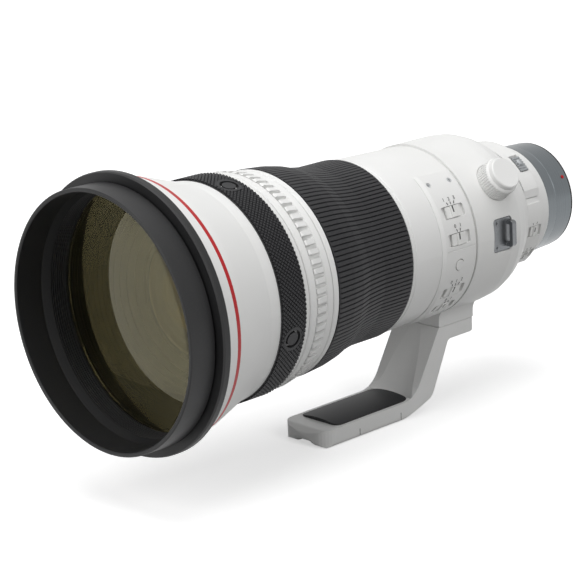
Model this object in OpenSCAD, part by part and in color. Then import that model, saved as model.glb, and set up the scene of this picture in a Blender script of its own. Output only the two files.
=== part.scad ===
// Super telephoto lens with a turning tripod collar, a long foot and a drop-in filter.
// Lengths are millimetres. Each piece is drawn on the optical axis, with z forward from
// the camera flange, y up and x to the side of the switches. The last lines lay the
// axis level, so that the front faces -Y and +Z is up.

/* [Lengths along the barrel] */
// Metal mount barrel, from the flange forward
mount_len = 25.8; // [20:0.1:32]
// Rear white barrel
rear_len = 26.2; // [24:0.1:32]
// Tripod collar
collar_len = 62; // [56:1:72]
// Barrel that carries the switch panel
panel_len = 55; // [50:1:70]
// White rim behind the focus ring
seam_rim_len = 3.6; // [3:0.1:6]
// Focus ring and its rubber
grip_len = 69.5; // [55:0.5:90]
// White rim between the focus ring and the playback ring
mid_rim_len = 4.1; // [3:0.1:7]
// Playback ring
play_len = 20.8; // [16:0.1:28]
// White rim in front of the playback ring
play_rim_len = 4.4; // [3:0.1:8]
// Rubber band with the stop buttons
band_len = 19.4; // [17:0.1:26]
// White front cone
front_len = 52.1; // [46:0.1:70]
// Hood seat
hood_len = 5.4; // [4:0.1:9]
// Groove in front of the hood seat
groove_len = 1.4; // [1:0.1:3]
// Black front rim
rim_len = 16.9; // [12:0.1:24]

/* [Diameters] */
// Rear edge of the mount barrel
mount_rear_d = 69.4; // [68:0.1:74]
// Mount barrel behind its step
mount_step_d = 70.7; // [69:0.1:76]
// Front edge of the mount barrel
mount_front_d = 73.2; // [71:0.1:80]
// Rear barrel at the collar
rear_d = 82; // [80:0.5:90]
// Collar over its straight part
collar_d = 108.6; // [106:0.2:116]
// Panel barrel at the collar
panel_rear_d = 106.4; // [105:0.2:114]
// Panel barrel and rim at the focus ring
panel_front_d = 109.6; // [108:0.2:116]
// Focus rubber over its rear half
grip_rear_d = 111.4; // [110:0.2:118]
// Focus rubber at its front edge
grip_front_d = 126.2; // [122:0.2:132]
// White rim between focus ring and playback ring
mid_rim_d = 125.6; // [122:0.2:132]
// White rim behind the rubber band
play_rim_d = 129.6; // [126:0.2:136]
// Rubber band
band_d = 131.6; // [128:0.2:138]
// Front cone where it meets the hood seat
front_d = 159.2; // [154:0.2:166]
// Hood seat, the widest part
hood_d = 163; // [158:0.5:170]
// Black front rim
rim_d = 152; // [149:0.5:158]
// Throat of the camera mount
throat_d = 54; // [50:0.5:56]

/* [Walls and rubber] */
// Wall of the white barrels
wall = 2.2; // [1.6:0.1:3]
// Rubber of the focus ring
grip_t = 2.2; // [1.6:0.1:3]
// Focus ring under its rubber
ring_wall = 1.6; // [1.2:0.1:2.4]
// Wall of the playback ring, without its bars
play_wall = 1.8; // [1.4:0.1:2.6]
// Rubber of the button band
band_t = 2; // [1.6:0.1:3]
// Running gap between a turning ring and what carries it
run_gap = 0.35; // [0.3:0.05:0.6]
// Gap round a fixed spigot
fit_gap = 0.05; // [0.03:0.01:0.1]

/* [Ribs and bars] */
// Number of ribs round the focus rubber
grip_ribs = 130; // [90:1:140]
// Depth of the grooves between the ribs
rib_depth = 0.9; // [0.5:0.1:1.2]
// Width of each groove
rib_gap = 0.9; // [0.6:0.1:1.2]
// Number of bars round the playback ring
play_bars = 72; // [48:1:80]
// Length of each bar
bar_len = 9.6; // [7:0.1:12]
// Width of each bar
bar_w = 3; // [2:0.1:3.6]
// Height of each bar
bar_h = 1.1; // [0.6:0.1:1.6]

/* [Stop buttons] */
// Button
button_d = 8; // [7:0.1:9]
// Ring-shaped moat round the button
moat_d = 11; // [10:0.1:12]
// Smooth boss round the moat
boss_d = 14.8; // [13:0.1:16]
// Travel of the button
button_travel = 0.8; // [0.5:0.1:1]
// Angle of the first button, from the switch side upwards
button_angle = 75; // [60:1:85]

/* [Switch panel] */
// Upper end of the panel
panel_top_angle = 53.6; // [50:0.1:60]
// Lower end of the panel
panel_low_angle = -64; // [-70:1:-60]
// Width of the panel along the barrel
panel_w = 31.2; // [28:0.1:34]
// Bare barrel between the panel and the collar
panel_inset = 0.8; // [0.6:0.1:2]
// Height of the panel over the barrel
panel_h = 1.1; // [0.7:0.1:1.8]
// Length of a switch window
window_len = 19.4; // [17:0.1:21]
// Width of a switch window round the barrel
window_w = 7.8; // [7:0.1:10]
// Travel of a switch slider to each side
slider_travel = 3; // [2:0.1:3.4]
// Set button
set_d = 6.6; // [5.6:0.1:7.6]

/* [Tripod collar] */
// Diameter of the lock knob
knob_d = 24; // [20:0.5:27]
// Diameter of the knob's smooth top
knob_top_d = 20.6; // [17:0.2:22]
// Height of the knurled part
knob_h = 10.5; // [8:0.5:13]
// Height of the smooth top
knob_top_h = 3.4; // [2:0.1:5]
// Number of flutes round the knob
knob_flutes = 44; // [32:1:50]
// Number of rows that cross them
knob_rows = 5; // [3:1:7]
// Angle of the lock knob
knob_angle = 36; // [30:1:45]
// Length of the strap plate round the collar
lug_w = 20.4; // [18:0.2:24]
// Length of the strap plate along the axis
lug_len = 16.4; // [14:0.2:20]
// Gap under the strap bar
lug_gap = 3; // [2.5:0.1:4]
// Thickness of the strap bar
lug_bar = 2.2; // [1.6:0.1:3]

/* [Foot] */
// Width of the foot
foot_w = 37; // [32:0.5:44]
// Height of the axis over the base of the foot
axis_h = 113; // [106:0.5:124]
// Height of the axis over the joint of pedestal and foot
joint_h = 60.5; // [58:0.5:64]
// Length of the pedestal along the axis
pedestal_len = 32; // [28:0.5:36]
// Thickness of the foot plate
plate_t = 11.5; // [10:0.5:15]
// Reach of the plate in front of the leg
plate_reach = 81.5; // [72:0.5:96]
// Thickness of the block under the pedestal
block_t = 9.5; // [8:0.5:12]
// Thickness of the leg, along the axis
leg_t = 14; // [12:0.5:20]
// Forward reach of the leg's front face
leg_reach = 24; // [20:0.5:34]
// Round between the leg's front and the plate
leg_round = 18; // [10:1:22]
// Width of the rubber pad
pad_w = 32; // [26:0.2:34]
// Length of the rubber pad
pad_len = 64.5; // [48:0.5:76]
// Height of the pad's crown over its sides
pad_crown = 1.8; // [1:0.1:3]
// Depth of the hollow in the front face of the leg
hollow_depth = 4.5; // [2:0.5:6]
// Large tripod thread, 3/8 inch
large_thread_d = 9.525; // [9.525:3/8 inch, 6.35:1/4 inch]
// Small tripod thread, 1/4 inch
small_thread_d = 6.35; // [6.35:1/4 inch, 9.525:3/8 inch]
// Depth of the tripod threads
thread_depth = 8; // [6:0.5:9]

/* [Drop-in filter] */
// Rear barrel beside the drawer
drawer_margin = 10; // [9:0.5:12]
// Rim of the drawer round the filter glass
filter_margin = 5; // [4:0.5:7]
// Thickness of the drawer
drawer_t = 8; // [6:0.5:9]
// Width of the drawer's cover along the axis
cover_w = 13.6; // [12:0.1:16]
// Angle of the lower edges of the cover
cover_angle = 18.6; // [16:0.1:24]
// Height of the cover over the rear barrel
cover_h = 1.6; // [1:0.1:2.4]
// Travel of a latch
latch_travel = 1.5; // [1:0.1:2]

/* [Optics and iris] */
// Second glass of the front group
second_glass_d = 104; // [96:1:108]
// Place of the second glass behind the front cell
second_drop = 46; // [36:1:50]
// Inner radius of the open iris
iris_open_r = 24.5; // [23:0.1:25]
// Width of a blade
blade_w = 4.6; // [4:0.1:5]
// Radius of the blades' pivots
pivot_r = 32; // [31:0.1:33]
// Thickness of a blade
blade_t = 0.25; // [0.2:0.01:0.3]
// Step from one blade to the next
blade_step = 0.5; // [0.5:0.01:0.6]
// Angle round the axis that a blade spans
blade_span = 112; // [100:1:116]
// Focusing group, glass diameter
focus_glass_d = 66; // [60:0.5:68]
// Travel of the focusing group to each side
focus_travel = 12; // [8:0.5:12]
// Turn of the cam ring that drives it, to each side
cam_turn = 30; // [24:1:36]
// Stabiliser lens
stab_glass_d = 38; // [34:0.5:40]
// Shift of the stabiliser to each side
stab_shift = 1.2; // [0.8:0.1:1.5]

/* [Hidden] */
$fn = 120;

// Overrun of every cut
over = 1;

// Colours
white = "#e9e9e7";
rubber = "#2c2c2e";
satin_black = "#1d1d1f";
metal = "#7d8487";
steel = "#b9bcbe";
red = "#b01018";
clear = "#8f9a86";
board_green = "#2f5a3c";
brass = "#b5a36a";

// Stations along the axis
z_rear = mount_len;
z_collar = z_rear + rear_len;
z_panel = z_collar + collar_len;
z_seam = z_panel + panel_len;
z_grip = z_seam + seam_rim_len;
z_mid_rim = z_grip + grip_len;
z_play = z_mid_rim + mid_rim_len;
z_play_rim = z_play + play_len;
z_band = z_play_rim + play_rim_len;
z_front = z_band + band_len;
z_hood = z_front + front_len;
z_groove = z_hood + hood_len;
z_rim = z_groove + groove_len;
z_end = z_rim + rim_len;

// A turned solid from a closed list of [radius, station] points
module turned(points) {
    rotate_extrude() polygon(points);
}

// A turned ring with straight walls
module ring(outer_r, inner_r, from, to) {
    turned([[inner_r, from], [outer_r, from], [outer_r, to], [inner_r, to]]);
}

// Places its children at an angle round the axis and at a station, with their own
// z pointing out from the axis, their x forward along it and their y round it
module at_angle(angle, station, radius) {
    rotate([0, 0, angle]) translate([radius, 0, station]) rotate([0, 90, 0])
        mirror([1, 0, 0]) children();
}

// A part of a turned ring between two angles
module sector(outer_r, inner_r, from, to, start, stop) {
    rotate([0, 0, start]) rotate_extrude(angle = stop - start)
        polygon([[inner_r, from], [outer_r, from], [outer_r, to], [inner_r, to]]);
}

// Points of an arc round a centre
function arc(centre, radius, start, stop, steps) =
    [for (i = [0 : steps])
        let (a = start + (stop - start) * i / steps)
        [centre[0] + radius * cos(a), centre[1] + radius * sin(a)]];

// Points of a box with round corners, centred on the origin
function rounded_box(w, h, r, steps = 6) = concat(
    arc([w / 2 - r, h / 2 - r], r, 0, 90, steps),
    arc([r - w / 2, h / 2 - r], r, 90, 180, steps),
    arc([r - w / 2, r - h / 2], r, 180, 270, steps),
    arc([w / 2 - r, r - h / 2], r, 270, 360, steps));

// Shape of the focus rubber: how far along, and how far out from rear to front size
grip_shares = [[0, 0], [0.35, 0], [0.45, 0.12], [0.57, 0.31], [0.68, 0.63],
    [0.8, 0.84], [0.91, 0.93], [1, 1]];

// The focus rubber's outline, drawn in by an inset
function grip_line(inset) = [for (p = grip_shares)
    [grip_rear_d / 2 + p[1] * (grip_front_d - grip_rear_d) / 2 - inset,
        z_grip + p[0] * grip_len]];

function reversed(list) = [for (i = [len(list) - 1 : -1 : 0]) list[i]];

// Front cone: share of its length, and share of the way from band size to hood size
cone_shares = [[0, 0], [0.16, 0.07], [0.36, 0.3], [0.52, 0.49], [0.67, 0.667],
    [0.83, 0.81], [1, 1]];

// Collar outline, from rear to front size, and the outline of its bore
collar_shares = [[0, 0], [0.12, 0.42], [0.23, 0.74], [0.34, 0.93], [0.48, 1], [1, 1]];
bore_shares = [[0, 0], [0.34, 1], [1, 1]];

// Small sizes: edges and fixed seats
edge = 0.6;
band_lip = 0.5;
spigot_len = 6;
glass_gap = 0.1;
glass_seat = 0.2;
end_share = 0.02;

// Front ring, cell and red ring
rim_wall = 1.9;
sleeve_len = 12;
groove_depth = 2.4;
ridge_depth = 0.9;
ridge_pitch = 1.6;
ridge_count = 7;
cell_len = 5;
cell_wall = 1.2;
cell_rim = 2;
baffle_ridge = 1.1;
baffle_ridges = 14;
second_rim = 5;
second_bulge = 7;
front_bulge = 9;
rear_bulge = 3;
small_bulge = 1.5;
red_w = 1.6;
red_t = 0.8;
red_share = 0.8;

// Stop buttons and switches
boss_h = 0.5;
button_gap = 0.25;
button_h = 0.3;
window_angles = [24.9, 7.2, -29.7, -45];
set_angle = -10;
window_depth = 0.9;
window_round = 1.1;
panel_slope = 3;
panel_screw_angle = 8;
panel_screw_share = 0.3;
step_angle = 0;
step_turn = 0.9;
step_depth = 0.3;
slider_play = 0.5;

// Screws
screw_head_d = 3.4;
screw_head_h = 1.2;
screw_d = 2;
screw_len = 4;
foot_screw_head_d = 7;
foot_screw_head_h = 4;
foot_screw_d = 4;
foot_screw_len = 14;

// Collar, pedestal, knob and strap loops
collar_step = 1.5;
collar_wall = 6.5;
collar_rear_wall = 3.6;
pedestal_inset = 2.5;
pedestal_round = 1.5;
flare_angle = 42;
flare_r = 12;
knob_seat = 1.7;
clamp_d = 7;
lug_angle = 0.8;
lug_seat = 2.8;
lug_t = 1.4;
lug_bar_w = 3.6;
lug_post = 2.4;
lug_margin = 0.4;
lug_round = 2;

// Foot
base_len = 70;
large_share = 0.62;
small_share = 0.34;
leg_rib = 3.5;
leg_flare = 2.5;
foot_round = 3;
hollow_tilt = 5;
nose_round = 9;
nose_crown = 3;
lobe_r = 10;
lobe_tilt = 18;
ledge_h = 12;
ledge_gap = 0.3;
joint_groove = 0.5;
pad_inset = 2;
pad_pocket = 0.8;
pad_round = 5;
pad_side = 0.3;

// Rear barrel, drawer and latches
cover_t = 4;
cover_slope = 6.6;
ground_h = 0.7;
ground_angle = -50;
ground_gap = 5.5;
rear_window_len = 11.8;
rear_window_w = 7.4;
rear_slider_travel = 1.9;
latch_t = 2.2;
latch_h = 0.8;
latch_len = 7.6;
latch_inset = 1;
latch_span = 15;
latch_ribs = 5;
latch_groove = 1;
dome_r = 2.3;
dome_h = 1.3;
dome_shares = [[1, 0], [0.93, 0.4], [0.75, 0.72], [0.42, 0.93], [0, 1]];
filter_t = 2;

// Camera mount
mount_step_len = 16.3;
flange_d = 65;
flange_t = 1.8;
flange_web = 3.4;
bayonet_d = 50.4;
bayonet_wall = 2;
bayonet_len = 6.6;
bayonet_lug_depth = 2;
bayonet_lug_span = 52;
seal_w = 1.6;
seal_t = 0.9;
contact_span = 70;
contact_count = 12;
contact_t = 3;
contact_d = 1.3;
contact_h = 0.4;
contact_tip = 1.4;
z_rear_glass = 9;
rear_glass_d = 41;
rear_glass_t = 5;

// Focusing group
cam_wall = 2.6;
carriage_len = 10;
rod_d = 3;
rod_margin = 4;
motor_len = 8;
follower_d = 3;
cam_steps = 3;

// Iris and stabiliser
iris_inset = 18;
z_iris = z_panel - iris_inset;
iris_base_t = 2;
iris_ring_t = 1.6;
pivot_d = 1.6;
drive_d = 1.2;
drive_arm = 4.5;
blade_half_turn = 18;
drive_share = 0.12;
ear_angle = 5.5;
stab_inset = 12;
z_stab = z_iris - stab_inset;
stab_t = 3;
stab_rim = 12;
board_t = 1.6;

// Derived radii and stations
collar_rear_d = rear_d + 2 * collar_step;
drawer_w = rear_d - 2 * drawer_margin;
filter_d = drawer_w - 2 * filter_margin;
play_seat_r = mid_rim_d / 2 - play_wall - run_gap;
play_bore_r = play_seat_r + run_gap;
front_bore_r = play_seat_r + fit_gap;
control_bore_r = play_seat_r - wall;
band_seat_r = band_d / 2 - band_t;
panel_bore_r = panel_rear_d / 2 - wall;
rear_bore_r = collar_rear_d / 2 - collar_rear_wall - run_gap - wall - fit_gap - wall;
z_button = (z_band + z_front) / 2;
z_sleeve = z_hood - sleeve_len;
z_cell = z_sleeve - cell_len;
z_red = z_front + red_share * front_len;
sleeve_r = cone_r((z_cell - z_front) / front_len) - cell_wall;
glass_d = 2 * (sleeve_r - fit_gap - cell_rim - glass_gap);
tube_bore_r = glass_d / 2 + 2 * glass_gap;
z_second = z_cell - second_drop;

// Radius of the front cone at a share of its length
function cone_r(share) = band_d / 2 - band_lip
    + lookup(share, cone_shares) * (front_d - band_d + 2 * band_lip) / 2;

function cone_line() = [for (p = cone_shares) [cone_r(p[0]), z_front + p[0] * front_len]];

// Radius of the playback ring's ground at a share of its length
function play_r(share) = mid_rim_d / 2 + share * (play_rim_d - mid_rim_d) / 2;

// Radius of the panel barrel at a station
function panel_r(z) = panel_rear_d / 2
    + (z - z_panel) / panel_len * (panel_front_d - panel_rear_d) / 2;

// Collar outline, and its bore drawn in by an inset
function collar_line() = [for (p = collar_shares)
    [collar_rear_d / 2 + p[1] * (collar_d - collar_rear_d) / 2,
        z_collar + run_gap + p[0] * (collar_len - 2 * run_gap)]];
function collar_bore(share) = collar_rear_d / 2 - collar_rear_wall
    + lookup(share, bore_shares)
        * (collar_d / 2 - collar_wall - collar_rear_d / 2 + collar_rear_wall);
function bore_line(inset) = [for (p = bore_shares)
    [collar_bore(p[0]) - inset, z_collar + p[0] * collar_len]];

// Rounds the corners of an outline, each by its own radius
function rounded(points, radii, steps = 6) = [for (i = [0 : len(points) - 1])
    let (b = points[i], r = radii[i],
        a = points[(i + len(points) - 1) % len(points)],
        c = points[(i + 1) % len(points)],
        u = (a - b) / norm(a - b),
        v = (c - b) / norm(c - b),
        half = acos(u * v) / 2,
        centre = b + (u + v) / norm(u + v) * r / sin(half),
        p = b + u * r / tan(half) - centre,
        q = b + v * r / tan(half) - centre,
        start = atan2(p[1], p[0]),
        swing = (atan2(q[1], q[0]) - start + 540) % 360 - 180)
    each r == 0 ? [b] : arc(centre, r, start, start + swing, steps)];

// A countersunk screw with a cross recess, the face of its head at z = 0
module screw() {
    difference() {
        union() {
            translate([0, 0, -screw_head_h]) cylinder(d = screw_head_d, h = screw_head_h);
            translate([0, 0, -screw_len]) cylinder(d = screw_d, h = screw_len);
        }
        for (turn = [0, 90]) rotate([0, 0, turn])
            cube([screw_head_d * 0.6, screw_d * 0.25, screw_head_h], center = true);
    }
}

// The hole of such a screw
module screw_hole() {
    translate([0, 0, -screw_head_h]) cylinder(d = screw_head_d + 2 * fit_gap, h = screw_head_h + over);
    translate([0, 0, -screw_len]) cylinder(d = screw_d + 2 * fit_gap, h = screw_len);
}

// Black front ring with the hood seat, and the ridged sleeve in front of the glass
module front_tube() {
    color(satin_black) difference() {
        turned([
            [tube_bore_r, z_sleeve],
            [sleeve_r - fit_gap, z_sleeve],
            [sleeve_r - fit_gap, z_hood],
            [hood_d / 2 - edge, z_hood],
            [hood_d / 2, z_hood + edge],
            [hood_d / 2, z_groove - 2 * edge],
            [hood_d / 2 - edge, z_groove],
            [rim_d / 2 - groove_depth, z_groove],
            [rim_d / 2 - groove_depth, z_rim],
            [rim_d / 2, z_rim],
            [rim_d / 2, z_end - edge],
            [rim_d / 2 - edge, z_end],
            [rim_d / 2 - rim_wall, z_end],
            [rim_d / 2 - rim_wall - edge, z_end - edge],
            [rim_d / 2 - rim_wall - edge, z_groove],
            [tube_bore_r, z_hood]
        ]);
        for (i = [0 : ridge_count - 1]) translate([0, 0, z_hood - i * ridge_pitch])
            turned([
                [tube_bore_r - over, 0],
                [tube_bore_r + ridge_depth, -ridge_pitch * 0.2],
                [tube_bore_r + ridge_depth, -ridge_pitch * 0.4],
                [tube_bore_r - over, -ridge_pitch * 0.8]
            ]);
    }
}

// White front cone, with the rim behind the rubber band and the band's seat
module front_barrel() {
    color(white) difference() {
        turned(concat(
            [[front_bore_r, z_play_rim + run_gap],
                [play_rim_d / 2 - edge, z_play_rim + run_gap],
                [play_rim_d / 2, z_play_rim + run_gap + edge],
                [play_rim_d / 2, z_band],
                [band_seat_r, z_band],
                [band_seat_r, z_front]],
            cone_line(),
            [[sleeve_r, z_hood],
                [sleeve_r, z_cell],
                [sleeve_r - wall, z_cell],
                [sleeve_r - wall, z_cell - wall],
                [front_bore_r, z_front]]));
        red_groove();
        for (i = [0 : 3]) at_angle(button_angle - 90 * i, z_button, 0)
            cylinder(d = button_d + 2 * button_gap, h = hood_d / 2);
    }
}

module red_groove() {
    ring(front_d / 2, cone_r(red_share) - red_t, z_red - red_w / 2, z_red + red_w / 2);
}

module red_ring() {
    color(red) turned([
        [cone_r(red_share) - red_t + fit_gap, z_red - red_w / 2],
        [cone_r(red_share - red_w / 2 / front_len), z_red - red_w / 2],
        [cone_r(red_share + red_w / 2 / front_len), z_red + red_w / 2],
        [cone_r(red_share) - red_t + fit_gap, z_red + red_w / 2]
    ]);
}

// Rubber band with four smooth round bosses
module button_band() {
    color(rubber) difference() {
        union() {
            turned([
                [band_seat_r + fit_gap, z_band],
                [band_d / 2 - edge, z_band],
                [band_d / 2, z_band + edge],
                [band_d / 2, z_front - edge],
                [band_d / 2 - edge, z_front],
                [band_seat_r + fit_gap, z_front]
            ]);
            for (i = [0 : 3]) at_angle(button_angle - 90 * i, z_button, band_d / 2 - band_t / 2)
                cylinder(d = boss_d, h = band_t / 2 + boss_h);
        }
        for (i = [0 : 3]) at_angle(button_angle - 90 * i, z_button, band_seat_r - band_t)
            cylinder(d = moat_d, h = 3 * band_t + boss_h);
    }
}

module stop_button(index) {
    foot_r = front_bore_r + button_travel;
    color(rubber) at_angle(button_angle - 90 * (index - 1), z_button, foot_r)
        cylinder(d = button_d, h = band_d / 2 + button_h - foot_r);
}

// Playback ring: raised bars between two plain rims
module playback_ring() {
    from = z_play + run_gap;
    to = z_play_rim;
    floor_r = play_r(0) - edge;
    middle = (from + to) / 2;
    color(white) {
        turned([
            [play_bore_r, from],
            [play_r(0) - edge, from],
            [play_r(0), from + edge],
            [play_r(0), middle - bar_len / 2 - edge],
            [floor_r, middle - bar_len / 2],
            [floor_r, middle + bar_len / 2],
            [play_r(1), middle + bar_len / 2 + edge],
            [play_r(1), to - edge],
            [play_r(1) - edge, to],
            [play_bore_r, to]
        ]);
        intersection() {
            turned([
                [play_bore_r + play_wall / 2, middle - bar_len / 2],
                [play_r(0), middle - bar_len / 2],
                [play_r(0) + bar_h, middle - bar_len / 2 + bar_h],
                [play_r(1) + bar_h / 2, middle + bar_len / 2 - bar_h],
                [play_r(1), middle + bar_len / 2],
                [play_bore_r + play_wall / 2, middle + bar_len / 2]
            ]);
            for (i = [0 : play_bars - 1]) rotate([0, 0, i * 360 / play_bars])
                translate([play_bore_r, -bar_w / 2, middle - bar_len / 2])
                    cube([hood_d / 2 - play_bore_r, bar_w, bar_len]);
        }
    }
}

// Fixed barrel that carries the playback ring
module control_barrel() {
    color(white) turned([
        [control_bore_r, z_mid_rim],
        [mid_rim_d / 2 - edge, z_mid_rim],
        [mid_rim_d / 2, z_mid_rim + edge],
        [mid_rim_d / 2, z_play - edge],
        [mid_rim_d / 2 - edge, z_play],
        [play_seat_r, z_play],
        [play_seat_r, z_play_rim + run_gap + spigot_len],
        [control_bore_r, z_play_rim + run_gap + spigot_len]
    ]);
}

// Fixed sleeve inside the focus ring, with the white rim behind it
module middle_barrel() {
    sleeve = grip_line(grip_t + ring_wall + run_gap);
    inner = grip_line(grip_t + ring_wall + run_gap + wall);
    web_r = grip_rear_d / 2 - grip_t - ring_wall - run_gap - wall / 2
        + lookup((z_guide - z_grip) / grip_len, grip_shares) * (grip_front_d - grip_rear_d) / 2;
    color(white) difference() {
        ring(web_r, rod_r - 2 * rod_d, z_guide, z_guide + wall);
        rod_places() translate([0, 0, z_guide - over])
            cylinder(d = rod_d + 2 * fit_gap, h = wall + 2 * over);
    }
    color(white) turned(concat(
        [[panel_bore_r - wall, z_seam - spigot_len],
            [panel_bore_r - fit_gap, z_seam - spigot_len],
            [panel_bore_r - fit_gap, z_seam],
            [panel_front_d / 2 - edge, z_seam],
            [panel_front_d / 2, z_seam + edge],
            [panel_front_d / 2, z_grip - edge - run_gap],
            [panel_front_d / 2 - edge, z_grip - run_gap],
            [sleeve[0][0], z_grip - run_gap]],
        sleeve,
        [[sleeve[7][0], z_mid_rim],
            [control_bore_r - fit_gap, z_mid_rim],
            [control_bore_r - fit_gap, z_mid_rim + spigot_len],
            [control_bore_r - wall, z_mid_rim + spigot_len],
            [control_bore_r - wall, z_mid_rim]],
        reversed([for (p = inner) [min(p[0], control_bore_r - wall), p[1]]]),
        [[panel_bore_r - wall, z_grip]]));
}

// Turning ring under the focus rubber
module focus_ring() {
    color(satin_black) difference() {
        turned(concat(grip_line(grip_t), reversed(grip_line(grip_t + ring_wall))));
        ring(hood_d / 2, 0, z_mid_rim - run_gap, z_mid_rim + over);
    }
}

// Rubber of the focus ring: flat ribs with a V groove between each two
module focus_grip() {
    stations = concat([0, end_share], [for (p = grip_shares) if (p[0] > 0 && p[0] < 1) p[0]],
        [1 - end_share, 1]);
    rib_turn = 360 / grip_ribs;
    gap_turn = rib_gap / grip_rear_d * 360 / PI;
    count = 3 * grip_ribs;
    last = len(stations) - 1;
    // Radius at a share of the length, and how deep the grooves are there
    function outer(share) = grip_rear_d / 2
        + lookup(share, grip_shares) * (grip_front_d - grip_rear_d) / 2;
    function depth(k) = k == 0 || k == last ? rib_depth / 2 : rib_depth;
    function place(k, i) =
        let (r = outer(stations[k]) - (i % 3 == 2 ? depth(k) : k == 0 || k == last ? edge / 2 : 0),
            a = floor(i / 3) * rib_turn
                + (i % 3 == 0 ? 0 : i % 3 == 1 ? rib_turn - gap_turn : rib_turn - gap_turn / 2))
        [r * cos(a), r * sin(a), z_grip + stations[k] * (grip_len - run_gap)];
    color(rubber) difference() {
        polyhedron(
            points = concat(
                [for (k = [0 : last], i = [0 : count - 1]) place(k, i)],
                [[0, 0, z_grip], [0, 0, z_grip + grip_len - run_gap]]),
            faces = concat(
                [for (k = [0 : last - 1], i = [0 : count - 1])
                    let (n = (i + 1) % count, a = k * count, b = a + count)
                    each [[a + i, b + i, b + n], [a + i, b + n, a + n]]],
                [for (i = [0 : count - 1]) [(last + 1) * count, i, (i + 1) % count]],
                [for (i = [0 : count - 1]) let (a = last * count)
                    [a + (i + 1) % count, a + i, (last + 1) * count + 1]]));
        turned(concat(
            [[0, z_grip - over], [grip_line(grip_t - fit_gap)[0][0], z_grip - over]],
            grip_line(grip_t - fit_gap),
            [[grip_line(grip_t - fit_gap)[7][0], z_mid_rim + over], [0, z_mid_rim + over]]));
    }
}

// Barrel that carries the switch panel, and the sleeve inside the collar
z_switches = z_panel + panel_inset + panel_w / 2;

module panel_barrel() {
    sleeve_bore_r = collar_bore(1) - run_gap - wall;
    web_bore_r = stab_glass_d / 2 + stab_shift + wall;
    color(white) difference() {
        turned(concat(
            bore_line(run_gap),
            [[panel_rear_d / 2 - edge, z_panel],
                [panel_rear_d / 2, z_panel + edge],
                [panel_front_d / 2, z_seam - edge],
                [panel_front_d / 2 - edge, z_seam],
                [panel_bore_r, z_seam],
                [panel_bore_r, z_panel + wall],
                [sleeve_bore_r, z_panel],
                [sleeve_bore_r, z_stab + wall],
                [web_bore_r, z_stab + wall],
                [web_bore_r, z_stab],
                [sleeve_bore_r, z_stab],
                [sleeve_bore_r, z_collar + bore_shares[1][0] * collar_len],
                [collar_bore(0) - run_gap - wall, z_collar]]));
        for (a = window_angles) at_angle(a, z_switches, panel_r(z_switches) - window_depth)
            translate([-window_len / 2, -window_w / 2, 0])
                cube([window_len, window_w, over + window_depth]);
        at_angle(set_angle, z_switches, 0) cylinder(d = set_d + 2 * button_gap, h = hood_d);
        panel_screw_places() screw_hole();
    }
}

// Places of the two screws at each end of the panel
module panel_screw_places() {
    for (a = [panel_top_angle - panel_screw_angle, panel_low_angle + panel_screw_angle], side = [-1, 1])
        at_angle(a, z_switches + side * panel_w * panel_screw_share,
            panel_r(z_switches) + panel_h - edge / 2)
            children();
}

// Raised curved plate with four windows and the set button's hole
module switch_panel() {
    from = z_switches - panel_w / 2;
    to = z_switches + panel_w / 2;
    color(white) difference() {
        rotate([0, 0, panel_low_angle]) rotate_extrude(angle = panel_top_angle - panel_low_angle)
            polygon([
                [panel_r(from) + fit_gap, from],
                [panel_r(from) + panel_h / 2, from],
                [panel_r(from) + panel_h, from + panel_h],
                [panel_r(to - panel_slope) + panel_h, to - panel_slope],
                [panel_r(to) + panel_h / 4, to],
                [panel_r(to) + fit_gap, to]
            ]);
        for (a = window_angles) at_angle(a, z_switches, panel_rear_d / 2 - over)
            linear_extrude(height = 2 * over + 3 * panel_h)
                polygon(rounded_box(window_len, window_w, window_round));
        at_angle(set_angle, z_switches, panel_rear_d / 2 - over)
            cylinder(d = set_d + 4 * button_gap, h = 2 * over + 3 * panel_h);
        panel_screw_places() screw_hole();
        rotate([0, 0, step_angle]) rotate_extrude(angle = step_turn)
            polygon([
                [panel_r(from) + panel_h - step_depth, from + 2 * panel_h],
                [panel_r(from) + panel_h + over, from + 2 * panel_h],
                [panel_r(to) + panel_h + over, to - panel_slope - panel_h],
                [panel_r(to) + panel_h - step_depth, to - panel_slope - panel_h]
            ]);
    }
}

// Sliding switch: a plate in its window with a raised thumb bar across it
module slider(angle, station, floor_r, length, width, height) {
    color(white) at_angle(angle, station, floor_r + run_gap) {
        translate([-length / 2, run_gap - width / 2, 0])
            cube([length, width - 2 * run_gap, height - edge]);
        translate([-length / 6, run_gap - width / 2, 0])
            cube([length / 3, width - 2 * run_gap, height]);
    }
}

slider_h = window_depth + panel_h;
slider_len = window_len - 2 * slider_travel - 2 * slider_play;
module panel_slider(index) {
    slider(window_angles[index], z_switches, panel_r(z_switches) - window_depth,
        slider_len, window_w, slider_h);
}

module set_button() {
    foot_r = panel_bore_r + button_travel;
    color(white) at_angle(set_angle, z_switches, foot_r)
        cylinder(d = set_d, h = panel_r(z_switches) + panel_h + button_h - foot_r);
}

// Tripod collar with the pedestal that the foot is screwed to
z_pedestal = z_panel - pedestal_inset - pedestal_len;
z_leg = z_pedestal + pedestal_len;
knob_share = 0.565;
z_knob = z_collar + knob_share * collar_len;
lug_share = 0.615;
z_lug = z_collar + lug_share * collar_len;
lug_flat_r = collar_d / 2 - lug_seat;
foot_screw_z = z_pedestal + pedestal_len / 2 - foot_screw_head_d;

module lug_places() {
    for (a = [lug_angle, 180 - lug_angle]) at_angle(a, z_lug, lug_flat_r) children();
}

module lug_screw_places() {
    lug_places() for (side = [-1, 1])
        translate([lug_len / 2 - screw_head_d, side * (lug_w / 2 - screw_head_d * 0.75), lug_t])
            children();
}

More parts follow.
